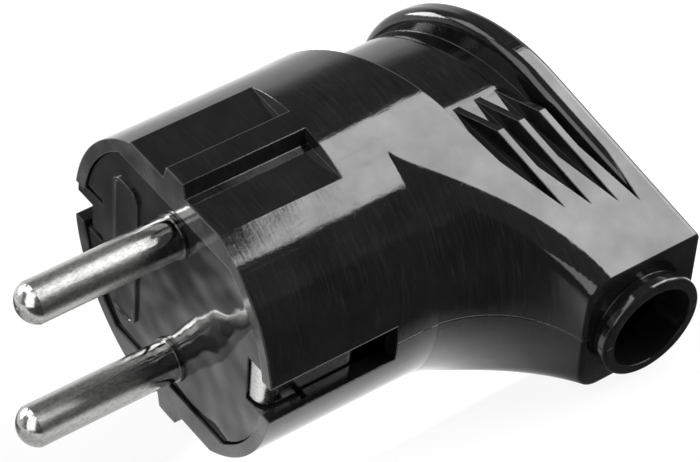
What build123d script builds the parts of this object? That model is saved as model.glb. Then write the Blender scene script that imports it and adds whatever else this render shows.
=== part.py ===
"""Right-angle earthed mains plug with two round pins, rewirable, in two half shells."""

import os
from math import asin, atan2, cos, degrees, hypot, radians, sin, sqrt, tan

from build123d import *

os.makedirs("parts", exist_ok=True)

# The pins point along -X, the cord leaves along -Y and the half shells part at Z = 0.
# The origin is the middle of the engagement face, at the front of the shells' rim.
# Each finished piece is turned about X, so that the plug lies on its flank as it comes to rest.

# Plug-in body
body_radius = 18.34
wall = 2.0
flat_height = 16.45
flat_length = 15.45
rib_top_width = 2.95
rib_root_width = 3.85
window_width = 5.1
window_length = 16.3

# Cord arm: a trumpet flare from the body, cut to flat flanks that close in on the cord end
flare_start = 19.9
flare_radius = 13.3
head_step = 0.08
end_drop = 28.9
end_half_height = 8.05
end_wall = 2.4
arm_wall = 2.8
flank_edge_round = 3.0
end_edge_round = 0.5

# Collar that the cord leaves by
cord_x = 40.3
cord_radius = 5.15
collar_length = 2.3
collar_neck_radius = 5.85
lip_radius = 6.45
lip_length = 1.2
lip_round = 0.4

# Back flange that the fingers pull on
back_x = 42.7
back_lean = 10.2
back_wall = 2.6
flange_radius = 18.2
flange_thickness = 3.1
flange_front_round = 1.2
flange_round_fade = 16.5
back_round = 0.8

# Grip: a waist between the body's shoulder and the flange, with fins along its flanks
shoulder_x = 28.15
shoulder_lean = 16.4
waist_half_width = 14.8
waist_half_depth = 17.0
waist_drop = 23.3
fin_count = 3
fin_first_x = 31.95
fin_pitch = 2.78
fin_width = 0.85
fin_peak_drop = 10.6
fin_foot_drop = 4.5
groove_bend_drop = 15.5
groove_tip_drop = 20.4
groove_tip_step = 0.9
shoulder_bend_drop = 13.5

# Contact carrier: face plate, seat flange held in a groove of the shells, and pin block
face_recess = 0.4
plate_radius = 16.7
plate_flat = 13.3
plate_thickness = 3.2
seat_flange_step = 0.6
seat_flange_thickness = 1.8
block_width = 12.0
block_height = 26.0
block_rear_x = 12.4
block_corner = 2.0
notch_root = 13.5
notch_width = 6.4
guard_thickness = 1.0
guard_notch_root = 15.5
guard_notch_top = 0.8
fit_gap = 0.15

# Contact pins with a wire hole and a clamp screw in their thick rear end
pin_radius = 2.4
pin_spacing = 19.0
pin_reach = 19.0
pin_tip_height = 1.7
pin_root_radius = 2.6
pin_root_reach = 0.5
pin_head_radius = 3.4
pin_head_length = 9.0
wire_hole_radius = 1.7
wire_hole_depth = 7.5
terminal_screw_radius = 1.6
terminal_screw_setback = 4.5
terminal_head_radius = 2.6
terminal_head_height = 1.8

# Earth strap: one bent strip, its legs lie behind the side windows
strap_thickness = 0.8
strap_width = 5.6
strap_gap = 0.1
strap_front_x = 0.7
strap_hook = 1.5
strap_bend = 1.7

# Earth terminal on the strap's bridge
earth_screw_radius = 1.9
earth_screw_length = 6.5
earth_head_radius = 3.4
earth_head_height = 2.2
earth_washer_side = 8.0
earth_washer_thickness = 1.0

# Cord clamp: a bar on two bosses of the lower shell, with a tooth that bites the cord
clamp_x = 34.8
clamp_drop = 16.0
clamp_screw_spacing = 10.0
clamp_seat_depth = 1.5
clamp_boss_radius = 2.6
clamp_length = 14.4
clamp_width = 5.6
clamp_thickness = 3.2
clamp_tooth_radius = 1.0
clamp_screw_radius = 1.45
clamp_screw_length = 10.0
clamp_head_radius = 2.5
clamp_head_height = 2.0

# Housing screws, driven from the lower shell's side
housing_screw_places = [(32.0, 7.5), (23.5, -11.0)]
housing_boss_radius = 4.2
housing_seat_depth = 8.5
housing_screw_radius = 1.45
housing_screw_length = 15.5
housing_head_radius = 2.75
housing_head_height = 2.0
head_gap = 0.25

# Shared small values
thread_gap = 0.05
parting_gap = 0.08
slot_width = 0.8
slot_depth = 0.9

# Sizes that follow from the ones above
bore_radius = body_radius - wall
head_radius = body_radius + head_step
pin_root_x = face_recess - pin_root_reach
pin_rear_x = block_rear_x + pin_head_length
seat_x = face_recess + plate_thickness
carrier_bore_radius = plate_radius + fit_gap
carrier_bore_flat = plate_flat + fit_gap
front_x = back_x - flange_thickness
arm_reach = hypot(end_drop, end_half_height)
clamp_places = [(clamp_x + side * clamp_screw_spacing / 2, -clamp_drop) for side in (-1, 1)]
far = body_radius + arm_reach + back_x


def flank_angle(radius, drop, half_height):
    """Slope of the line that leaves a round head as a tangent and ends at drop, half_height."""
    return asin(radius / hypot(drop, half_height)) - atan2(half_height, drop)


def teardrop(radius, drop, half_height):
    """Round head with straight tangent flanks, closed by a straight end at drop below the axis."""
    slope = flank_angle(radius, drop, half_height)
    touch_y = -radius * sin(slope)
    touch_z = radius * cos(slope)
    with BuildSketch() as outline:
        with BuildLine():
            head = ThreePointArc((touch_y, touch_z), (radius, 0), (touch_y, -touch_z))
            Polyline(head @ 1, (-drop, -half_height), (-drop, half_height), head @ 0)
        make_face()
    return outline.sketch


def oval_teardrop(half_depth, half_width, drop, half_height):
    """The same with an oval head, half_depth along the flanks and half_width across them."""
    turn = degrees(flank_angle(half_width, drop * half_width / half_depth, half_height))
    with BuildSketch() as outline:
        with BuildLine():
            head = EllipticalCenterArc((0, 0), half_depth, half_width, -90 - turn, arc_size=180 + 2 * turn)
            Polyline(head @ 1, (-drop, half_height), (-drop, -half_height), head @ 0)
        make_face()
    return outline.sketch


def flared_profile(radius, arc_radius):
    """Half section of a tube about X that opens like a trumpet behind the flare's start."""
    with BuildSketch() as profile:
        with BuildLine():
            tube = Line((0, radius), (flare_start, radius))
            flare = JernArc(tube @ 1, tube % 1, arc_radius, 90)
            rim_height = radius + arc_radius + arm_reach
            mouth = Line(flare @ 1, (flare_start + arc_radius, rim_height))
            Polyline(mouth @ 1, (far, rim_height), (far, 0), (0, 0), tube @ 0)
        make_face()
    return profile.sketch


def flatted_disc(radius, flat):
    """Disc with a flat above and below."""
    with BuildSketch() as disc:
        Circle(radius)
        Rectangle(2 * radius, 2 * flat, mode=Mode.INTERSECT)
    return disc.sketch


def leaning_plane(x, lean):
    """Plane across the plug through x on its axis, its lower end leaning back."""
    return Plane(origin=(x, 0, 0), z_dir=(cos(radians(lean)), sin(radians(lean)), 0))


def leaning_axis(lean):
    """Direction square to such a plane."""
    return Axis((0, 0, 0), leaning_plane(0, lean).z_dir)


def leaning_point(x, lean, y):
    """Point at height y on such a plane, seen from the side."""
    return (x - y * tan(radians(lean)), y)


def hand_over(piece, name):
    """Lay the finished piece down as the plug rests, name it and write it."""
    piece.part = piece.part.rotate(Axis.X, degrees(flank))
    piece.part.label = name
    export_step(piece.part, f"parts/{name}.step")


flank = flank_angle(head_radius, end_drop, end_half_height)
waist_half_height = end_half_height + (end_drop - waist_drop) * tan(flank)
waist_aspect = waist_half_width / waist_half_depth
waist_slope = tan(flank_angle(waist_half_width, waist_drop * waist_aspect, waist_half_height)) * waist_aspect
fin_peak_height = end_half_height + (end_drop - fin_peak_drop) * tan(flank)
fin_foot_height = waist_half_height + (waist_drop - fin_foot_drop) * waist_slope
flange_shift = (flange_radius - head_radius) / sin(flank)

# Grip recess, as the shape that is cut from the housing: the fins are left out of it
fin_edges = [fin_first_x + i * fin_pitch for i in range(fin_count)] + [front_x]
groove_tips = [groove_tip_drop + i * groove_tip_step for i in range(fin_count + 1)]

with BuildPart() as fins:
    with BuildSketch(Plane.XY):
        for i in range(fin_count):
            with BuildLine():
                Polyline(
                    leaning_point(fin_edges[i], back_lean, -fin_foot_drop),
                    leaning_point(fin_edges[i], back_lean, -end_drop),
                    leaning_point(fin_edges[i + 1], back_lean, -end_drop),
                    leaning_point(fin_edges[i + 1], back_lean, -groove_tips[i + 1]),
                    leaning_point(fin_edges[i] + fin_width, back_lean, -groove_bend_drop),
                    leaning_point(fin_edges[i] + fin_width, back_lean, -fin_foot_drop),
                    close=True,
                )
            make_face()
        with BuildLine():
            Polyline(
                leaning_point(shoulder_x, shoulder_lean, -shoulder_bend_drop),
                leaning_point(fin_first_x, back_lean, -groove_tips[0]),
                leaning_point(fin_first_x, back_lean, -end_drop),
                leaning_point(shoulder_x, shoulder_lean, -end_drop),
                close=True,
            )
        make_face()
    extrude(amount=2 * body_radius, both=True)
    with BuildSketch(Plane.YZ):
        with BuildLine():
            Polyline(
                (-far, -far),
                (-fin_peak_drop, -far),
                (-fin_peak_drop, -fin_peak_height),
                (-fin_foot_drop, -fin_foot_height),
                (-fin_foot_drop, fin_foot_height),
                (-fin_peak_drop, fin_peak_height),
                (-fin_peak_drop, far),
                (-far, far),
                close=True,
            )
        make_face()
    extrude(amount=far, mode=Mode.INTERSECT)

with BuildPart() as grip_recess:
    with BuildSketch(Plane.XY):
        with BuildLine():
            Polyline(
                leaning_point(shoulder_x, shoulder_lean, 2 * body_radius),
                leaning_point(shoulder_x, shoulder_lean, -waist_drop),
                leaning_point(front_x, back_lean, -waist_drop),
                leaning_point(front_x, back_lean, 2 * body_radius),
                close=True,
            )
        make_face()
    extrude(amount=2 * body_radius, both=True)
    with BuildSketch(Plane.YZ):
        add(oval_teardrop(waist_half_depth, waist_half_width, waist_drop, waist_half_height))
    extrude(amount=far, mode=Mode.SUBTRACT)
    add(fins.part, mode=Mode.SUBTRACT)

# Flange with its rounded front edge, and what it leaves of the body's outline.
# The rounding runs out towards the tip of the last groove.
with BuildPart() as rounded_flange:
    with BuildSketch(Plane.YZ):
        with Locations((flange_shift, 0)):
            add(teardrop(flange_radius, end_drop + flange_shift, end_half_height))
    extrude(amount=far)
    split(bisect_by=leaning_plane(front_x, back_lean), keep=Keep.TOP)
    fillet(rounded_flange.faces().sort_by(leaning_axis(back_lean))[0].edges(), flange_front_round)

with BuildPart() as flange_trim:
    with BuildSketch(Plane.XY):
        with BuildLine():
            Polyline(
                leaning_point(front_x, back_lean, 2 * body_radius),
                leaning_point(front_x, back_lean, -groove_tips[-1]),
                leaning_point(front_x + flange_front_round, back_lean, -flange_round_fade),
                leaning_point(far, back_lean, -flange_round_fade),
                leaning_point(far, back_lean, 2 * body_radius),
                close=True,
            )
        make_face()
    extrude(amount=2 * body_radius, both=True)
    add(rounded_flange.part, mode=Mode.SUBTRACT)

# Space inside the housing
grip_bore_radius = waist_half_width - arm_wall
channel_drop = end_drop - end_wall
channel_half_height = end_half_height - arm_wall

with BuildPart() as grip_space:
    with BuildSketch(Plane.XY):
        add(flared_profile(bore_radius, flare_radius + wall))
    revolve(axis=Axis.X)
    with BuildSketch(Plane.YZ):
        add(teardrop(grip_bore_radius, channel_drop, channel_half_height))
    extrude(amount=far, mode=Mode.INTERSECT)
    split(bisect_by=leaning_plane(back_x - back_wall, back_lean), keep=Keep.BOTTOM)

with BuildPart() as inner_space:
    with BuildSketch(Plane.YZ):
        Circle(bore_radius)
    extrude(amount=far)
    split(bisect_by=leaning_plane(shoulder_x - wall, shoulder_lean), keep=Keep.BOTTOM)
    with BuildSketch(Plane.YZ):
        Circle(body_radius)
        add(flatted_disc(body_radius, carrier_bore_flat), mode=Mode.SUBTRACT)
    extrude(amount=flat_length + wall, mode=Mode.SUBTRACT)
    with BuildSketch(Plane.YZ):
        add(flatted_disc(carrier_bore_radius, carrier_bore_flat))
    extrude(amount=seat_x)
    with BuildSketch(Plane.YZ.offset(seat_x)):
        add(flatted_disc(carrier_bore_radius + seat_flange_step, carrier_bore_flat + seat_flange_step))
    extrude(amount=seat_flange_thickness + fit_gap)
    add(grip_space.part)
    with BuildSketch(Plane.XY):
        with Locations(*housing_screw_places):
            Circle(housing_boss_radius)
    extrude(amount=far, both=True, mode=Mode.SUBTRACT)
    with BuildSketch(Plane.XY.offset(-clamp_seat_depth)):
        with Locations(*clamp_places):
            Circle(clamp_boss_radius)
    extrude(amount=-far, mode=Mode.SUBTRACT)

# Whole housing, before it is parted into its two shells
with BuildPart() as housing:
    with BuildSketch(Plane.XY):
        add(flared_profile(body_radius, flare_radius))
    revolve(axis=Axis.X)
    with BuildSketch(Plane.YZ):
        add(teardrop(head_radius, end_drop, end_half_height))
    extrude(amount=far, mode=Mode.INTERSECT)
    split(bisect_by=leaning_plane(back_x, back_lean), keep=Keep.BOTTOM)
    flare_edges = housing.edges().filter_by(GeomType.BSPLINE).sort_by(Axis.Y)
    fillet(flare_edges[1:], flank_edge_round)
    add(flange_trim.part, mode=Mode.SUBTRACT)
    fillet(housing.faces().sort_by(leaning_axis(back_lean))[-1].edges(), back_round)
    fillet(housing.faces().sort_by(Axis.Y)[0].edges(), end_edge_round)
    with BuildSketch(Plane.XZ.offset(end_drop)):
        with Locations((cord_x, 0)):
            Circle(collar_neck_radius)
    extrude(amount=collar_length)
    with BuildSketch(Plane.XZ.offset(end_drop + collar_length - lip_length)):
        with Locations((cord_x, 0)):
            Circle(lip_radius)
    extrude(amount=lip_length)
    fillet(housing.edges().filter_by(GeomType.CIRCLE).sort_by(Axis.Y)[0], lip_round)
    for side in (1, -1):
        with BuildSketch(Plane.YZ):
            with BuildLine():
                Polyline(
                    (rib_root_width / 2, side * flat_height),
                    (rib_top_width / 2, side * body_radius),
                    (rib_top_width / 2, side * 2 * body_radius),
                    (body_radius, side * 2 * body_radius),
                    (body_radius, side * flat_height),
                    close=True,
                )
            make_face()
            mirror(about=Plane.YZ)
        extrude(amount=flat_length, mode=Mode.SUBTRACT)
    add(grip_recess.part, mode=Mode.SUBTRACT)
    add(inner_space.part, mode=Mode.SUBTRACT)
    with BuildSketch(Plane.XZ.offset(channel_drop - end_wall)):
        with Locations((cord_x, 0)):
            Circle(cord_radius)
    extrude(amount=far, mode=Mode.SUBTRACT)
    with BuildSketch(Plane.XY):
        with Locations((window_length / 2, 0)):
            Rectangle(window_length, 2 * far)
            Rectangle(window_length, 2 * notch_root, mode=Mode.SUBTRACT)
    extrude(amount=window_width / 2, both=True, mode=Mode.SUBTRACT)

with BuildPart() as upper_shell:
    add(housing.part)
    split(bisect_by=Plane.XY.offset(parting_gap / 2), keep=Keep.TOP)
    with BuildSketch(Plane.XY):
        with Locations(*housing_screw_places):
            Circle(housing_screw_radius + thread_gap)
    extrude(amount=housing_screw_length - housing_seat_depth + head_gap, mode=Mode.SUBTRACT)

with BuildPart() as lower_shell:
    add(housing.part)
    split(bisect_by=Plane.XY.offset(-parting_gap / 2), keep=Keep.BOTTOM)
    with BuildSketch(Plane.XY):
        with Locations(*housing_screw_places):
            Circle(housing_screw_radius + thread_gap)
    extrude(amount=-far, mode=Mode.SUBTRACT)
    with BuildSketch(Plane.XY.offset(-housing_seat_depth)):
        with Locations(*housing_screw_places):
            Circle(housing_head_radius + head_gap)
    extrude(amount=-far, mode=Mode.SUBTRACT)
    with BuildSketch(Plane.XY.offset(-clamp_seat_depth)):
        with Locations(*clamp_places):
            Circle(clamp_screw_radius + thread_gap)
    extrude(amount=-(clamp_screw_length - clamp_thickness + head_gap), mode=Mode.SUBTRACT)

with BuildPart() as contact_carrier:
    with BuildSketch(Plane.YZ.offset(face_recess)):
        add(flatted_disc(plate_radius, plate_flat))
    extrude(amount=plate_thickness)
    with BuildSketch(Plane.YZ.offset(seat_x)):
        add(flatted_disc(plate_radius + seat_flange_step, plate_flat + seat_flange_step))
    extrude(amount=seat_flange_thickness)
    with BuildSketch(Plane.YZ):
        Rectangle(4 * body_radius, notch_width)
        Rectangle(2 * notch_root, notch_width, mode=Mode.SUBTRACT)
    extrude(amount=block_rear_x, mode=Mode.SUBTRACT)
    with BuildSketch(Plane.YZ.offset(face_recess)):
        Circle(body_radius)
        Rectangle(4 * body_radius, window_width - 2 * fit_gap, mode=Mode.INTERSECT)
        with Locations((guard_notch_root + body_radius, guard_notch_top - body_radius)):
            Rectangle(2 * body_radius, 2 * body_radius, mode=Mode.SUBTRACT)
        with Locations((notch_root - far, 0)):
            Rectangle(2 * far, 2 * far, mode=Mode.SUBTRACT)
    extrude(amount=guard_thickness)
    with BuildSketch(Plane.YZ.offset(seat_x)):
        RectangleRounded(block_width, block_height, block_corner)
    extrude(amount=block_rear_x - seat_x)
    with BuildSketch(Plane.YZ):
        with Locations((0, pin_spacing / 2), (0, -pin_spacing / 2)):
            Circle(pin_root_radius + thread_gap)
    extrude(amount=block_rear_x, mode=Mode.SUBTRACT)
    with BuildSketch(Plane.YZ.offset(block_rear_x)):
        Circle(earth_screw_radius + thread_gap)
    earth_hole_depth = earth_screw_length - earth_washer_thickness - strap_thickness + head_gap
    extrude(amount=-earth_hole_depth, mode=Mode.SUBTRACT)

hand_over(upper_shell, "upper_shell")
hand_over(lower_shell, "lower_shell")
hand_over(contact_carrier, "contact_carrier")

# Pins and their clamp screws
for name, pin_z in (("upper", pin_spacing / 2), ("lower", -pin_spacing / 2)):
    pin_axis = Axis((0, 0, pin_z), (1, 0, 0))
    screw_x = pin_rear_x - terminal_screw_setback
    with BuildPart() as pin:
        with BuildSketch(Plane.XY.offset(pin_z)):
            with BuildLine():
                tip_radius = (pin_radius**2 + pin_tip_height**2) / (2 * pin_tip_height)
                tip = RadiusArc((-pin_reach, 0), (pin_tip_height - pin_reach, pin_radius), tip_radius)
                Polyline(
                    tip @ 1,
                    (pin_root_x, pin_radius),
                    (pin_root_x, pin_root_radius),
                    (block_rear_x, pin_root_radius),
                    (block_rear_x, pin_head_radius),
                    (pin_rear_x, pin_head_radius),
                    (pin_rear_x, wire_hole_radius),
                    (pin_rear_x - wire_hole_depth, wire_hole_radius),
                    (pin_rear_x - wire_hole_depth, 0),
                    tip @ 0,
                )
            make_face()
        revolve(axis=pin_axis)
        with BuildSketch(Plane.XZ):
            with Locations((screw_x, pin_z)):
                Circle(terminal_screw_radius + thread_gap)
        extrude(amount=-far, mode=Mode.SUBTRACT)
    hand_over(pin, f"{name}_pin")

    with BuildPart() as terminal_screw:
        with BuildSketch(Plane.XZ.offset(-pin_head_radius)):
            with Locations((screw_x, pin_z)):
                Circle(terminal_head_radius)
        extrude(amount=-terminal_head_height)
        with BuildSketch(Plane.XZ.offset(-pin_head_radius)):
            with Locations((screw_x, pin_z)):
                Circle(terminal_screw_radius)
        extrude(amount=pin_head_radius - wire_hole_radius / 2)
        with BuildSketch(Plane.XZ.offset(-(pin_head_radius + terminal_head_height))):
            with Locations((screw_x, pin_z)):
                Rectangle(2 * terminal_head_radius, slot_width)
        extrude(amount=slot_depth, mode=Mode.SUBTRACT)
    hand_over(terminal_screw, f"{name}_terminal_screw")

# Earth strap and its terminal
with BuildPart() as earth_strap:
    strap_rear_x = block_rear_x + strap_thickness
    outer_y = sqrt((bore_radius - strap_gap) ** 2 - (strap_width / 2) ** 2)
    inner_y = outer_y - strap_thickness
    hook_y = inner_y - strap_hook
    guarded_front_x = face_recess + guard_thickness + fit_gap
    with BuildSketch(Plane.XY):
        with BuildLine():
            outside = FilletPolyline(
                (guarded_front_x, hook_y),
                (guarded_front_x, outer_y),
                (strap_rear_x, outer_y),
                (strap_rear_x, -outer_y),
                (strap_front_x, -outer_y),
                (strap_front_x, -hook_y),
                radius=strap_bend,
            )
            inside = FilletPolyline(
                (strap_front_x + strap_thickness, -hook_y),
                (strap_front_x + strap_thickness, -inner_y),
                (block_rear_x, -inner_y),
                (block_rear_x, inner_y),
                (guarded_front_x + strap_thickness, inner_y),
                (guarded_front_x + strap_thickness, hook_y),
                radius=strap_bend - strap_thickness,
            )
            Line(outside @ 1, inside @ 0)
            Line(inside @ 1, outside @ 0)
        make_face()
    extrude(amount=strap_width / 2, both=True)
    with BuildSketch(Plane.YZ.offset(block_rear_x)):
        Circle(earth_screw_radius + thread_gap)
    extrude(amount=strap_thickness, mode=Mode.SUBTRACT)
hand_over(earth_strap, "earth_strap")

with BuildPart() as earth_wire_washer:
    with BuildSketch(Plane.YZ.offset(block_rear_x + strap_thickness)):
        Rectangle(earth_washer_side, earth_washer_side)
        Circle(earth_screw_radius + thread_gap, mode=Mode.SUBTRACT)
    extrude(amount=earth_washer_thickness)
hand_over(earth_wire_washer, "earth_wire_washer")

with BuildPart() as earth_terminal_screw:
    earth_head_x = block_rear_x + strap_thickness + earth_washer_thickness
    with BuildSketch(Plane.YZ.offset(earth_head_x)):
        Circle(earth_head_radius)
    extrude(amount=earth_head_height)
    with BuildSketch(Plane.YZ.offset(earth_head_x)):
        Circle(earth_screw_radius)
    extrude(amount=-earth_screw_length)
    with BuildSketch(Plane.YZ.offset(earth_head_x + earth_head_height)):
        Rectangle(2 * earth_head_radius, slot_width)
    extrude(amount=-slot_depth, mode=Mode.SUBTRACT)
hand_over(earth_terminal_screw, "earth_terminal_screw")

# Cord clamp and its screws
with BuildPart() as cord_clamp:
    with BuildSketch(Plane.XY.offset(-clamp_seat_depth)):
        with Locations((clamp_x, -clamp_drop)):
            RectangleRounded(clamp_length, clamp_width, clamp_boss_radius)
        with Locations(*clamp_places):
            Circle(clamp_screw_radius + thread_gap, mode=Mode.SUBTRACT)
    extrude(amount=clamp_thickness)
    with BuildSketch(Plane.XZ.offset(clamp_drop - clamp_width / 2)):
        with Locations((clamp_x, -clamp_seat_depth)):
            Circle(clamp_tooth_radius)
    extrude(amount=clamp_width)
hand_over(cord_clamp, "cord_clamp")


def slotted_screws(places, seat_z, down, radius, length, head_radius, head_height):
    """Slotted screws at the given places, their heads on a seat, driven down or up along Z."""
    with BuildPart() as screws:
        with BuildSketch(Plane.XY.offset(seat_z)):
            with Locations(*places):
                Circle(head_radius)
        extrude(amount=down * head_height)
        with BuildSketch(Plane.XY.offset(seat_z)):
            with Locations(*places):
                Circle(radius)
        extrude(amount=-down * length)
        with BuildSketch(Plane.XY.offset(seat_z + down * head_height)):
            with Locations(*places):
                Rectangle(2 * head_radius, slot_width)
        extrude(amount=-down * slot_depth, mode=Mode.SUBTRACT)
    return screws


cord_clamp_screws = slotted_screws(
    clamp_places,
    clamp_thickness - clamp_seat_depth,
    1,
    clamp_screw_radius,
    clamp_screw_length,
    clamp_head_radius,
    clamp_head_height,
)
hand_over(cord_clamp_screws, "cord_clamp_screws")

housing_screws = slotted_screws(
    housing_screw_places,
    -housing_seat_depth,
    -1,
    housing_screw_radius,
    housing_screw_length,
    housing_head_radius,
    housing_head_height,
)
hand_over(housing_screws, "housing_screws")
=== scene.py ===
"""Looks of the angled mains plug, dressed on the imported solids.

Lengths are in metres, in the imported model's own frame.
"""

from math import radians

import bmesh
import bpy
from mathutils import Matrix, Vector


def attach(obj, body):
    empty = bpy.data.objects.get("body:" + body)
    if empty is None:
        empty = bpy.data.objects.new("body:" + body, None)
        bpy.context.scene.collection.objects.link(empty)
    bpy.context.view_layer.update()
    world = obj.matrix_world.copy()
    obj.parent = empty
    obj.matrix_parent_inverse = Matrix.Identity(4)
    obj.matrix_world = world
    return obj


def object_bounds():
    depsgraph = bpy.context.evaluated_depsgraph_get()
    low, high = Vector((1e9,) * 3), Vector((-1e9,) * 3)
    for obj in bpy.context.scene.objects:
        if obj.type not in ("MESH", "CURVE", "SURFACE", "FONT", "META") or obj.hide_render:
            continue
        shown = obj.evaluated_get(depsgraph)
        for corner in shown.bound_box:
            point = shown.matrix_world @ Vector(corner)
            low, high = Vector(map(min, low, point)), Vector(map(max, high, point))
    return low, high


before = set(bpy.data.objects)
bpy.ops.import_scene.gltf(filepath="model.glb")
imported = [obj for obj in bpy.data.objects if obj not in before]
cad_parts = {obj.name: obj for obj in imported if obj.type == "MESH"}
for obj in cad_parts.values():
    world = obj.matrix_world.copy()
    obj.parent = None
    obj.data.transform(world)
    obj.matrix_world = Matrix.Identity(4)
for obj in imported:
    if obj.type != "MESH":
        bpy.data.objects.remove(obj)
cad_low, cad_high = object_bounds()

MM = 0.001

# Places on the plug. It lies on its flank, so the pins stand one above the other at this slant about X
REST_TURN = radians(22.314)
FACE_X = 0.4 * MM
RIM_X = (0.05 * MM, 0.3 * MM)
PIN_TIP_X = -17.3 * MM
PIN_TIP_BLEND = 0.05 * MM
PIN_COAT_X = (PIN_TIP_X, PIN_TIP_X + 1.5 * MM)
PIN_GLOSS_X = (-5.5 * MM, -2.5 * MM)
# Painted shade darkens the pin roots over this span
PIN_ROOT_X = (-0.4 * MM, -0.1 * MM)
# Painted shade darkens the strap legs from this span on
STRAP_PAINTED_SHADE_X = (1.6 * MM, 2.8 * MM)
SEAM_X = (19.4 * MM, 22.4 * MM)
SEAM_RADIUS = 18.425 * MM
SEAM_BLEND = 0.2 * MM

# Textures on a piece's own coordinates: stretch along X, Y and Z, turn, scale, detail, roughness
CLOUDS = ((1, 1, 1), (0, 0, 0), 160.0, 4.0, 0.6)
RUBBING = ((0.3, 1, 1), (0, 0, 0.4), 1100.0, 5.0, 0.65)
STROKES = ((1, 0.08, 0.08), (0, 0.2, 0.15), 2300.0, 4.0, 0.65)
SCORES = ((1, 0.05, 0.05), (0, 0.25, 0.1), 5200.0, 3.0, 0.6)
HAIR_SCRATCHES = (
    ((0.05, 1, 1), (0.3, 0.2, 0.7), 700.0, 2.0, 0.5),
    ((1, 1, 0.05), (0.8, 0.1, -0.4), 800.0, 2.0, 0.5),
)
WEAR_PATCHES = ((0.4, 1, 1), (0, 0, 0), 420.0, 3.0, 0.55)
NOISE_RANGE = (0.3, 0.7)

# Black mouldings
MOULDING_IOR = 1.5
CLOUD_TINT = (0.75, 1.3)
CLOUD_SHEEN = (0.40, 0.58)
SCORE_GREY = (0.035, 0.035, 0.035)
SCORE_RANGE = (0.48, 0.74)
SCORE_SHARE = (0.0, 0.2)
# The rim's front edge is greyed in patches as a painted reflection
RIM_REFLECTION_RANGE = (0.35, 0.65)
RIM_REFLECTION_SHARE = (0.25, 1.0)
RUBBING_RANGE = (0.35, 0.75)
HAIR_LEVEL = 0.62
HAIR_WIDTH = 0.012
HAIR_DULL = 0.10
STROKE_SHARE = 0.35
MARK_STRENGTH = 0.05
MARK_DEPTH = 0.2 * MM

# Plated metal
PLATE_WEAR_RANGE = (0.75, 1.25)
PLATE_BUMP = 0.12
PLATE_BUMP_DEPTH = 0.05 * MM
PIN_COAT = 0.5
PIN_COAT_ROUGHNESS = 0.07
PIN_TIP_SMOOTH = 0.55
PIN_FOOT_SMOOTH = 0.25
# Painted shade at the pin roots
PIN_ROOT_PAINTED_SHADE = 0.4
# Painted shade on the strap legs
STRAP_LEG_PAINTED_SHADE = 0.35

# Edges of the raised panel
PANEL_SLOPE = 0.12 * MM
PANEL_SOFT_EDGE = 0.09 * MM
PANEL_SOFT_ANGLE = radians(25)
PANEL_SMOOTH_ANGLE = radians(40)
NEARLY_ALONG = 0.99

# Floor, and what the plug mirrors of it: dark in front, a painted shadow of the plug behind, open
# further out
FLOOR_SIZE = 12.0
FLOOR_WHITE = (0.88, 0.88, 0.88)
FLOOR_ROUGHNESS = 0.9
FLOOR_SEEN = 0.9
FRONT_Y = (-0.027, -0.012)
FRONT_LEVEL = (0.06, 1.0)
# A painted shadow of the plug, seen only in what the plug mirrors of the floor
PAINTED_SHADOW_PLACE = (-0.035, 0.065, 0.0)
PAINTED_SHADOW_REACH = (0.026, 0.054)
PAINTED_SHADOW_LEVEL = (0.16, 0.85)
OPEN_REACH = (0.064, 0.082)
OPEN_LEVEL = (0.0, 0.45)

# Room, by the direction looked in
BACKDROP_Y = (0.15, 0.65)
BACKDROP_Z = (0.40, 0.68)
RIGHT_X = (0.55, 0.75)
ROOM_LEVEL = (0.20, 1.1)

# Softboxes. The key hangs level above; the others face the plug: way, distance, width, height, watts
AIM = Vector((0.015, -0.010, 0.0))
KEY_PLACE = (0.319, -0.2479, 0.300)
KEY_FACING = (0, 0, -1)
KEY_SIZE = (0.26, 0.477)
KEY_WATTS = 3.43
KEY_TURN = radians(15.5)
FACING_SOFTBOXES = {
    "side_softbox": ((-0.84, -0.30, 0.46), 0.45, 0.33, 0.60, 1.65),
    "top_softbox": ((-0.37, 0.28, 0.85), 0.6, 0.30, 0.30, 1.1),
    "rear_softbox": ((-0.44, 0.75, 0.50), 0.5, 0.20, 0.20, 1.9),
    "right_softbox": ((0.86, -0.15, 0.46), 0.5, 0.26, 0.26, 1.3),
}
GLEAM_ONLY = ("rear_softbox", "right_softbox")

# Camera, fitted to the photograph's view
CAMERA_PLACE = (-0.15410, -0.30797, 0.17915)
CAMERA_TURN = (62.537, 9.921, -35.027)
CAMERA_LENS = 189.03
CAMERA_SENSOR = 36.0
CAMERA_CLIP = (0.01, 40.0)


# Materials
def add_node(tree, kind, place, **settings):
    """A shader node at a place in the editor, with its settings and unlinked inputs."""
    node = tree.nodes.new(kind)
    node.location = place
    for name, value in settings.items():
        if name in node.inputs.keys():
            node.inputs[name].default_value = value
        else:
            setattr(node, name, value)
    return node


def span(tree, place, source, from_range, to_range, smooth=False):
    """A value taken from one range into another and clamped there."""
    node = add_node(tree, "ShaderNodeMapRange", place)
    if smooth:
        node.interpolation_type = "SMOOTHSTEP"
    node.inputs["From Min"].default_value = from_range[0]
    node.inputs["From Max"].default_value = from_range[1]
    node.inputs["To Min"].default_value = to_range[0]
    node.inputs["To Max"].default_value = to_range[1]
    tree.links.new(source, node.inputs["Value"])
    return node.outputs["Result"]


def combine(tree, place, operation, first, second):
    """Two values put together by a math node; the second may be a plain number."""
    node = add_node(tree, "ShaderNodeMath", place, operation=operation)
    tree.links.new(first, node.inputs[0])
    if isinstance(second, (int, float)):
        node.inputs[1].default_value = second
    else:
        tree.links.new(second, node.inputs[1])
    return node.outputs["Value"]


def split(tree, place, coords):
    """The X, Y and Z outputs of a vector."""
    axes = add_node(tree, "ShaderNodeSeparateXYZ", place)
    tree.links.new(coords, axes.inputs["Vector"])
    return axes.outputs


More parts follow.
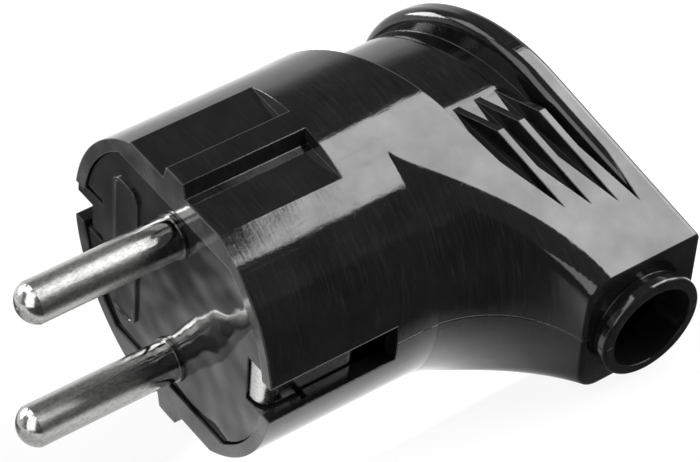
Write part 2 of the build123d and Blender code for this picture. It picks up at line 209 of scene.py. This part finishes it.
def grain(tree, place, coords, texture):
    """Noise on the piece's own coordinates, drawn out along its axes and turned."""
    stretch, turn, scale, detail, roughness = texture
    mapping = add_node(tree, "ShaderNodeMapping", (place[0] - 200, place[1]))
    mapping.inputs["Scale"].default_value = stretch
    mapping.inputs["Rotation"].default_value = turn
    noise = add_node(
        tree, "ShaderNodeTexNoise", place, Scale=scale, Detail=detail, Roughness=roughness
    )
    tree.links.new(coords, mapping.inputs["Vector"])
    tree.links.new(mapping.outputs["Vector"], noise.inputs["Vector"])
    return noise.outputs["Fac"]


def new_material(name):
    """A material with only its output node and a principled surface."""
    material = bpy.data.materials.new(name)
    material.use_nodes = True
    tree = material.node_tree
    tree.nodes.clear()
    output = add_node(tree, "ShaderNodeOutputMaterial", (900, 0))
    surface = add_node(tree, "ShaderNodeBsdfPrincipled", (600, 0))
    tree.links.new(surface.outputs["BSDF"], output.inputs["Surface"])
    coords = add_node(tree, "ShaderNodeTexCoord", (-1700, 0))
    return material, tree, surface, coords.outputs["Object"]


def tinted(tree, surface, colour, source, tint):
    """Base colour, lighter and darker by a texture."""
    shade = span(tree, (0, 400), source, NOISE_RANGE, tint)
    mixed = add_node(
        tree, "ShaderNodeMix", (250, 400), data_type="RGBA", blend_type="MULTIPLY"
    )
    mixed.inputs["Factor"].default_value = 1.0
    mixed.inputs["A"].default_value = (*colour, 1)
    tree.links.new(shade, mixed.inputs["B"])
    tree.links.new(mixed.outputs["Result"], surface.inputs["Base Color"])


def greyed(tree, surface, place, grey, share):
    """Base colour carried towards a grey by a share."""
    mixed = add_node(tree, "ShaderNodeMix", place, data_type="RGBA")
    mixed.inputs["B"].default_value = (*grey, 1)
    tree.links.new(share, mixed.inputs["Factor"])
    tree.links.new(surface.inputs["Base Color"].links[0].from_socket, mixed.inputs["A"])
    tree.links.new(mixed.outputs["Result"], surface.inputs["Base Color"])


def darkened_along(tree, surface, coords, reach, shade):
    """Painted shade: base colour multiplied by a factor that runs from one to a shade along X."""
    along = split(tree, (-100, 700), coords)["X"]
    factor = span(tree, (250, 650), along, reach, (1.0, shade))
    mixed = add_node(
        tree, "ShaderNodeMix", (420, 500), data_type="RGBA", blend_type="MULTIPLY"
    )
    mixed.inputs["Factor"].default_value = 1.0
    tree.links.new(surface.inputs["Base Color"].links[0].from_socket, mixed.inputs["A"])
    tree.links.new(factor, mixed.inputs["B"])
    tree.links.new(mixed.outputs["Result"], surface.inputs["Base Color"])


def round_normal(tree, place, coords, shaped):
    """The shaped normal, but straight out from the plug's axis on the round seam behind the body."""
    left, level = place
    axes = split(tree, (left - 800, level), coords)
    outward = add_node(tree, "ShaderNodeCombineXYZ", (left - 600, level + 150))
    length = add_node(tree, "ShaderNodeVectorMath", (left - 400, level), operation="LENGTH")
    unit = add_node(
        tree, "ShaderNodeVectorMath", (left - 400, level + 150), operation="NORMALIZE"
    )
    tree.links.new(axes["Y"], outward.inputs["Y"])
    tree.links.new(axes["Z"], outward.inputs["Z"])
    tree.links.new(outward.outputs["Vector"], length.inputs[0])
    tree.links.new(outward.outputs["Vector"], unit.inputs[0])
    start = (SEAM_X[0], SEAM_X[0] + SEAM_BLEND)
    end = (SEAM_X[1], SEAM_X[1] + SEAM_BLEND)
    depth = (SEAM_RADIUS, SEAM_RADIUS + SEAM_BLEND / 10)
    behind = span(tree, (left - 400, level - 200), axes["X"], start, (0, 1))
    before = span(tree, (left - 400, level - 400), axes["X"], end, (1, 0))
    inside = span(tree, (left - 200, level - 200), length.outputs["Value"], depth, (1, 0))
    band = combine(tree, (left, level - 300), "MULTIPLY", behind, before)
    share = combine(tree, (left + 150, level - 200), "MULTIPLY", band, inside)
    mixed = add_node(tree, "ShaderNodeMix", (left + 300, level), data_type="VECTOR")
    first, second = mixed.inputs[4], mixed.inputs[5]
    tree.links.new(share, mixed.inputs["Factor"])
    tree.links.new(shaped, first)
    tree.links.new(unit.outputs["Vector"], second)
    return mixed.outputs[1]


def moulded_black(name, colour, rim_reflection_grey, shine, dull, edge_round, swell_scale, swell_depth):
    """Glossy black moulding: sink waves, uneven polish, scratches, a rim greyed by painted reflection,
    and soft edges.
    """
    material, tree, surface, coords = new_material(name)
    surface.inputs["IOR"].default_value = MOULDING_IOR

    # Colour: cloudy black with faint score marks, greyed at the rim's front edge as a painted
    # reflection
    clouds = grain(tree, (-1300, 600), coords, CLOUDS)
    tinted(tree, surface, colour, clouds, CLOUD_TINT)
    sheen = span(tree, (0, 700), clouds, NOISE_RANGE, CLOUD_SHEEN)
    tree.links.new(sheen, surface.inputs["Specular IOR Level"])
    scores = grain(tree, (-1300, 1100), coords, SCORES)
    scored = span(tree, (0, 1000), scores, SCORE_RANGE, SCORE_SHARE)
    greyed(tree, surface, (330, 1000), SCORE_GREY, scored)
    # Painted reflection: the rim's front edge greyed in patches
    rim = span(tree, (-700, 900), split(tree, (-900, 900), coords)["X"], RIM_X, (1.0, 0.0))
    patchy = span(tree, (-700, 1150), clouds, RIM_REFLECTION_RANGE, RIM_REFLECTION_SHARE)
    patched = combine(tree, (-500, 900), "MULTIPLY", rim, patchy)
    greyed(tree, surface, (400, 700), rim_reflection_grey, patched)

    # Polish: rubbed unevenly, duller along hair scratches
    rubbing = grain(tree, (-1300, 200), coords, RUBBING)
    lines = []
    for level, texture in zip((-100, -400), HAIR_SCRATCHES):
        hair = grain(tree, (-1300, level), coords, texture)
        offset = combine(tree, (-1050, level), "SUBTRACT", hair, HAIR_LEVEL)
        nearness = combine(tree, (-900, level), "ABSOLUTE", offset, 0.0)
        lines.append(span(tree, (-750, level), nearness, (0.0, HAIR_WIDTH), (1.0, 0.0)))
    scratches = combine(tree, (-550, -250), "MAXIMUM", *lines)
    polish = span(tree, (-550, 200), rubbing, RUBBING_RANGE, (shine, dull))
    scuffed = combine(tree, (-350, 0), "MULTIPLY", scratches, HAIR_DULL)
    roughness = combine(tree, (-150, 100), "ADD", polish, scuffed)
    tree.links.new(roughness, surface.inputs["Roughness"])

    # Relief: broken edges, sink waves, then rubbing marks
    edge = add_node(tree, "ShaderNodeBevel", (-550, -600), samples=6, Radius=edge_round)
    swelling = ((1, 1, 1), (0, 0, 0), swell_scale, 1.0, 0.4)
    swell = grain(tree, (-1300, -800), coords, swelling)
    waves = add_node(
        tree, "ShaderNodeBump", (-300, -600), Strength=1.0, Distance=swell_depth
    )
    marks = add_node(
        tree, "ShaderNodeBump", (0, -500), Strength=MARK_STRENGTH, Distance=MARK_DEPTH
    )
    rounded = round_normal(tree, (-700, -1100), coords, edge.outputs["Normal"])
    tree.links.new(rounded, waves.inputs["Normal"])
    tree.links.new(swell, waves.inputs["Height"])
    tree.links.new(waves.outputs["Normal"], marks.inputs["Normal"])
    strokes = grain(tree, (-1300, 450), coords, STROKES)
    faint = combine(tree, (-350, -900), "MULTIPLY", strokes, STROKE_SHARE)
    height = combine(tree, (-200, -800), "ADD", rubbing, faint)
    tree.links.new(height, marks.inputs["Height"])
    tree.links.new(marks.outputs["Normal"], surface.inputs["Normal"])
    return material


def plated_metal(name, colour, shine, dull, drawn, fineness, speckle, edge_round):
    """Plated metal with fine grain drawn along one axis, with the nodes that a finish may change."""
    material, tree, surface, coords = new_material(name)
    surface.inputs["Metallic"].default_value = 1.0
    lines = grain(tree, (-1300, 200), coords, (drawn, (0, 0, 0), fineness, 4.0, 0.65))
    patches = grain(tree, (-1300, -100), coords, WEAR_PATCHES)
    tinted(tree, surface, colour, lines, speckle)
    patched = combine(tree, (-900, 50), "ADD", lines, patches)
    polish = span(tree, (-700, 50), patched, PLATE_WEAR_RANGE, (shine, dull))
    tree.links.new(polish, surface.inputs["Roughness"])
    edge = add_node(tree, "ShaderNodeBevel", (-550, -400), samples=4, Radius=edge_round)
    bump = add_node(
        tree, "ShaderNodeBump", (0, -300), Strength=PLATE_BUMP, Distance=PLATE_BUMP_DEPTH
    )
    tree.links.new(edge.outputs["Normal"], bump.inputs["Normal"])
    tree.links.new(lines, bump.inputs["Height"])
    tree.links.new(bump.outputs["Normal"], surface.inputs["Normal"])
    return material, tree, surface, coords, polish, bump


def pin_plating():
    """Satin nickel under a clear coat on the pins: glossy feet, smooth bare tips, and roots darkened
    by painted shade.
    """
    material, tree, surface, coords, polish, bump = plated_metal(
        "pin_nickel",
        colour=(0.42, 0.42, 0.41),
        shine=0.28,
        dull=0.40,
        drawn=(0.5, 1, 1),
        fineness=4200.0,
        speckle=(0.62, 1.22),
        edge_round=0.06 * MM,
    )
    along = split(tree, (-1500, -500), coords)["X"]
    tip = (PIN_TIP_X - PIN_TIP_BLEND, PIN_TIP_X + PIN_TIP_BLEND)
    shaft = span(tree, (-300, -100), along, tip, (PIN_TIP_SMOOTH, 1.0))
    foot = span(tree, (-300, 150), along, PIN_GLOSS_X, (1.0, PIN_FOOT_SMOOTH))
    both = combine(tree, (-200, 50), "MULTIPLY", shaft, foot)
    roughness = combine(tree, (-100, 0), "MULTIPLY", polish, both)
    strength = combine(tree, (-150, -500), "MULTIPLY", shaft, PLATE_BUMP)
    coat = span(tree, (300, -400), along, PIN_COAT_X, (0.0, PIN_COAT))
    tree.links.new(roughness, surface.inputs["Roughness"])
    tree.links.new(strength, bump.inputs["Strength"])
    tree.links.new(coat, surface.inputs["Coat Weight"])
    surface.inputs["Coat Roughness"].default_value = PIN_COAT_ROUGHNESS
    # Painted shade darkens the pin roots
    darkened_along(tree, surface, coords, PIN_ROOT_X, PIN_ROOT_PAINTED_SHADE)
    return material


def strap_plating():
    """Bright nickel at the strap's bent front end, darkened by painted shade along the legs in the
    windows.
    """
    material, tree, surface, coords, *_ = plated_metal(
        "strap_nickel",
        colour=(0.62, 0.62, 0.61),
        shine=0.18,
        dull=0.32,
        drawn=(0.5, 1, 1),
        fineness=3600.0,
        speckle=(0.72, 1.15),
        edge_round=0.08 * MM,
    )
    # Painted shade darkens the legs deep in the windows
    darkened_along(tree, surface, coords, STRAP_PAINTED_SHADE_X, STRAP_LEG_PAINTED_SHADE)
    return material


housing_black = moulded_black(
    "housing_black",
    colour=(0.0045, 0.0045, 0.0048),
    # The rim grey is a painted reflection on the rim's front edge
    rim_reflection_grey=(0.065, 0.065, 0.065),
    shine=0.05,
    dull=0.11,
    edge_round=0.22 * MM,
    swell_scale=110.0,
    swell_depth=0.08 * MM,
)
carrier_black = moulded_black(
    "carrier_black",
    colour=(0.008, 0.008, 0.0085),
    # The rim grey is a painted reflection on the rim's front edge
    rim_reflection_grey=(0.02, 0.02, 0.02),
    shine=0.03,
    dull=0.08,
    edge_round=0.15 * MM,
    swell_scale=150.0,
    swell_depth=0.80 * MM,
)
pin_nickel = pin_plating()
strap_nickel = strap_plating()
screw_steel, *_ = plated_metal(
    "screw_steel",
    colour=(0.60, 0.60, 0.61),
    shine=0.25,
    dull=0.42,
    drawn=(1, 1, 1),
    fineness=2600.0,
    speckle=(0.82, 1.10),
    edge_round=0.08 * MM,
)

FINISHES = {
    housing_black: ["upper_shell", "lower_shell"],
    carrier_black: ["contact_carrier"],
    pin_nickel: ["upper_pin", "lower_pin"],
    strap_nickel: ["earth_strap"],
    screw_steel: [
        "upper_terminal_screw",
        "lower_terminal_screw",
        "earth_terminal_screw",
        "earth_wire_washer",
        "cord_clamp",
        "cord_clamp_screws",
        "housing_screws",
    ],
}
for finish, names in FINISHES.items():
    for name in names:
        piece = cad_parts[name]
        piece.data.materials.clear()
        piece.data.materials.append(finish)


# Plain raised panel on the face plate
def select_in_mesh(piece, kind, wanted):
    """Select a mesh's edges or faces by a test, in edit mode."""
    bpy.ops.mesh.select_mode(type=kind)
    bpy.ops.mesh.select_all(action="DESELECT")
    sketch = bmesh.from_edit_mesh(piece.data)
    items = sketch.faces if kind == "FACE" else sketch.edges
    for item in items:
        item.select_set(wanted(item))
    sketch.select_flush_mode()
    bmesh.update_edit_mesh(piece.data)


def runs_along_x(edge):
    """Whether an edge runs along X."""
    way = (edge.verts[0].co - edge.verts[1].co).normalized()
    return abs(way.x) > NEARLY_ALONG


def looks_forward(face):
    """Whether a face looks the way that the pins point."""
    return face.normal.x < -NEARLY_ALONG


def raised_panel(name, across, along, width, length, sunk, proud, corner, rim, field):
    """A rounded plate with a proud rim, standing on the face plate at a place across and along it."""
    seat = Vector((FACE_X + (sunk - proud) / 2, across, along))
    seat = Matrix.Rotation(REST_TURN, 3, "X") @ seat
    bpy.ops.object.select_all(action="DESELECT")
    bpy.ops.mesh.primitive_cube_add(size=1.0, location=seat, rotation=(REST_TURN, 0, 0))
    panel = bpy.context.object
    panel.name = name
    panel.scale = (sunk + proud, width, length)
    bpy.ops.object.transform_apply(location=True, rotation=True, scale=True)
    bpy.ops.object.mode_set(mode="EDIT")
    select_in_mesh(panel, "EDGE", runs_along_x)
    bpy.ops.mesh.bevel(offset=corner, segments=8, affect="EDGES")
    select_in_mesh(panel, "FACE", looks_forward)
    bpy.ops.mesh.inset(thickness=rim, depth=0.0)
    bpy.ops.mesh.inset(thickness=PANEL_SLOPE, depth=-field)
    bpy.ops.object.mode_set(mode="OBJECT")
    softened = panel.modifiers.new("softened edges", "BEVEL")
    softened.width = PANEL_SOFT_EDGE
    softened.segments = 3
    softened.limit_method = "ANGLE"
    softened.angle_limit = PANEL_SOFT_ANGLE
    bpy.ops.object.modifier_apply(modifier=softened.name)
    bpy.ops.object.shade_smooth_by_angle(angle=PANEL_SMOOTH_ANGLE)
    panel.data.materials.append(carrier_black)
    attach(panel, "root")


raised_panel(
    "face_panel",
    across=9.0 * MM,
    along=-0.6 * MM,
    width=4.6 * MM,
    length=20.4 * MM,
    sunk=0.15 * MM,
    proud=0.35 * MM,
    corner=1.5 * MM,
    rim=0.35 * MM,
    field=0.22 * MM,
)


# Studio
def paper_floor():
    """Plain white paper. What the plug mirrors of it falls off in front and in a painted shadow of the
    plug.
    """
    bpy.ops.object.select_all(action="DESELECT")
    bpy.ops.mesh.primitive_plane_add(size=FLOOR_SIZE, location=(0, 0, cad_low.z))
    floor = bpy.context.object
    floor.name = "floor"
    material, tree, paper, coords = new_material("floor_paper")
    paper.inputs["Base Color"].default_value = (*FLOOR_WHITE, 1)
    paper.inputs["Roughness"].default_value = FLOOR_ROUGHNESS
    path = add_node(tree, "ShaderNodeLightPath", (-1200, 300)).outputs
    mirrored = combine(
        tree, (-900, 200), "MAXIMUM", path["Is Glossy Ray"], path["Is Transmission Ray"]
    )
    seen = combine(tree, (-900, 400), "MULTIPLY", path["Is Camera Ray"], FLOOR_SEEN)
    share = combine(tree, (-600, 300), "MAXIMUM", seen, mirrored)
    back = split(tree, (-1500, -300), coords)["Y"]
    fall_off = span(tree, (-1200, -300), back, FRONT_Y, FRONT_LEVEL, smooth=True)
    apart = add_node(tree, "ShaderNodeVectorMath", (-1200, -600), operation="DISTANCE")
    apart.inputs[1].default_value = PAINTED_SHADOW_PLACE
    tree.links.new(coords, apart.inputs[0])
    away = apart.outputs["Value"]
    # Painted shadow of the plug in the floor's mirrored glow
    painted_shadow = span(tree, (-1000, -600), away, PAINTED_SHADOW_REACH, PAINTED_SHADOW_LEVEL, smooth=True)
    beyond = span(tree, (-1000, -900), away, OPEN_REACH, OPEN_LEVEL, smooth=True)
    bright = combine(tree, (-900, -700), "ADD", painted_shadow, beyond)
    lit = combine(tree, (-800, -400), "MULTIPLY", fall_off, bright)
    level = combine(tree, (-600, -200), "MAXIMUM", path["Is Camera Ray"], lit)
    glow = add_node(tree, "ShaderNodeEmission", (600, -500))
    blend = add_node(tree, "ShaderNodeMixShader", (780, 150))
    tree.links.new(level, glow.inputs["Strength"])
    tree.links.new(share, blend.inputs["Fac"])
    tree.links.new(paper.outputs["BSDF"], blend.inputs[1])
    tree.links.new(glow.outputs["Emission"], blend.inputs[2])
    tree.links.new(blend.outputs["Shader"], tree.nodes["Material Output"].inputs["Surface"])
    floor.data.materials.append(material)
    return floor


def studio_room():
    """A grey room, bright low behind the plug and at its right; plain white to the camera."""
    world = bpy.data.worlds.new("studio")
    bpy.context.scene.world = world
    world.use_nodes = True
    tree = world.node_tree
    room = tree.nodes["Background"]
    toward = add_node(tree, "ShaderNodeTexCoord", (-1100, 0))
    axes = split(tree, (-900, 0), toward.outputs["Generated"])
    behind = span(tree, (-700, 100), axes["Y"], BACKDROP_Y, (0.0, 1.0), smooth=True)
    low = span(tree, (-700, -200), axes["Z"], BACKDROP_Z, (1.0, 0.0), smooth=True)
    backdrop = combine(tree, (-450, 0), "MULTIPLY", behind, low)
    right = span(tree, (-700, -500), axes["X"], RIGHT_X, (0.0, 1.0), smooth=True)
    bright = combine(tree, (-350, -200), "MAXIMUM", backdrop, right)
    level = span(tree, (-250, 0), bright, (0.0, 1.0), ROOM_LEVEL)
    tree.links.new(level, room.inputs["Strength"])
    room.inputs["Color"].default_value = (1, 1, 1, 1)
    white = add_node(tree, "ShaderNodeBackground", (0, -200), Strength=1.0)
    white.inputs["Color"].default_value = (1, 1, 1, 1)
    path = add_node(tree, "ShaderNodeLightPath", (0, 300))
    blend = add_node(tree, "ShaderNodeMixShader", (250, 0))
    tree.links.new(path.outputs["Is Camera Ray"], blend.inputs["Fac"])
    tree.links.new(room.outputs["Background"], blend.inputs[1])
    tree.links.new(white.outputs["Background"], blend.inputs[2])
    tree.links.new(blend.outputs["Shader"], tree.nodes["World Output"].inputs["Surface"])


def softbox(name, place, facing, width, height, watts, turn=0.0):
    """A rectangular lamp at a place, its face looking along a direction; unseen by the camera."""
    lamp = bpy.data.lights.new(name, "AREA")
    lamp.shape = "RECTANGLE"
    lamp.size = width
    lamp.size_y = height
    lamp.energy = watts
    holder = bpy.data.objects.new(name, lamp)
    bpy.context.scene.collection.objects.link(holder)
    holder.location = place
    looking = Vector(facing).to_track_quat("-Z", "Y")
    turned = looking.to_matrix() @ Matrix.Rotation(turn, 3, "Z")
    holder.rotation_euler = turned.to_euler()
    holder.visible_camera = False
    holder.visible_diffuse = name not in GLEAM_ONLY


def photo_camera():
    """The camera at the photograph's viewing angle."""
    camera = bpy.data.objects.new("photo_camera", bpy.data.cameras.new("photo_camera"))
    bpy.context.scene.collection.objects.link(camera)
    camera.location = CAMERA_PLACE
    camera.rotation_euler = [radians(turn) for turn in CAMERA_TURN]
    camera.data.lens = CAMERA_LENS
    camera.data.sensor_width = CAMERA_SENSOR
    camera.data.clip_start, camera.data.clip_end = CAMERA_CLIP
    return camera


floor = paper_floor()
studio_room()
softbox("key_softbox", KEY_PLACE, KEY_FACING, *KEY_SIZE, KEY_WATTS, KEY_TURN)
for name, (way, distance, width, height, watts) in FACING_SOFTBOXES.items():
    way = Vector(way).normalized()
    softbox(name, AIM + way * distance, -way, width, height, watts)

bpy.context.scene.camera = photo_camera()
bpy.context.scene.view_settings.view_transform = "Standard"
